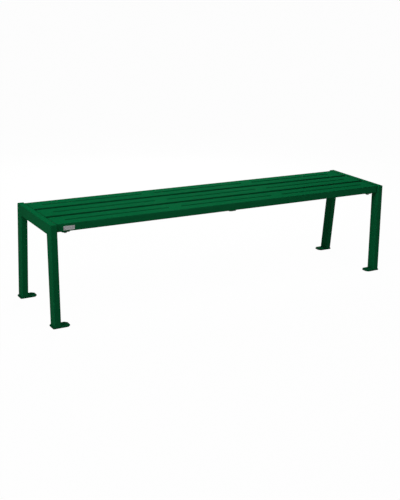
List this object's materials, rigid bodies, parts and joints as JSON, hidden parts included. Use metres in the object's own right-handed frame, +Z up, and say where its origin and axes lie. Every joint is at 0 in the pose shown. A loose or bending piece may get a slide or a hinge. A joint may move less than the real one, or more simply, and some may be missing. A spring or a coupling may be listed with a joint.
{
  "type": "backless bench",
  "caption": "Backless street bench with folded steel slats on splayed tube end frames, with foot plates drilled for floor anchors.",
  "frame": {"origin": "on the floor, under the middle of the seat", "axes": "+X along the seat, +Y from the front to the rear, +Z up"},
  "size_m": [1.812, 0.45, 0.45],
  "materials": {
    "green_powder_coat": "satin dark green polyester powder coat over steel",
    "zinc_plated_steel": "dull zinc plating on bolts, screws, washers and nuts",
    "satin_aluminium": "brushed and clear-anodised maker's plate and its rivets"
  },
  "bodies": {
    "root": {"left_crossbar": "green_powder_coat", "right_crossbar": "green_powder_coat", "left_front_leg": "green_powder_coat", "left_rear_leg": "green_powder_coat", "right_front_leg": "green_powder_coat", "right_rear_leg": "green_powder_coat", "left_front_foot_plate": "green_powder_coat", "left_rear_foot_plate": "green_powder_coat", "right_front_foot_plate": "green_powder_coat", "right_rear_foot_plate": "green_powder_coat", "left_foot_welds": "green_powder_coat", "right_foot_welds": "green_powder_coat", "left_corner_welds": "green_powder_coat", "right_corner_welds": "green_powder_coat", "left_bracket_welds": "green_powder_coat", "right_bracket_welds": "green_powder_coat", "left_front_bracket": "green_powder_coat", "left_rear_bracket": "green_powder_coat", "right_front_bracket": "green_powder_coat", "right_rear_bracket": "green_powder_coat", "front_slat": "green_powder_coat", "middle_slat": "green_powder_coat", "rear_slat": "green_powder_coat", "left_crossmember": "green_powder_coat", "middle_crossmember": "green_powder_coat", "right_crossmember": "green_powder_coat", "end_bar_bolts": "zinc_plated_steel", "end_bar_washers": "zinc_plated_steel", "end_bar_nuts": "zinc_plated_steel", "bracket_bolts": "zinc_plated_steel", "bracket_washers": "zinc_plated_steel", "bracket_nuts": "zinc_plated_steel", "middle_bar_screws": "zinc_plated_steel", "middle_bar_washers": "zinc_plated_steel", "middle_bar_nuts": "zinc_plated_steel", "maker_plate": "satin_aluminium", "maker_plate_rivets": "satin_aluminium"}
  },
  "joints": []
}
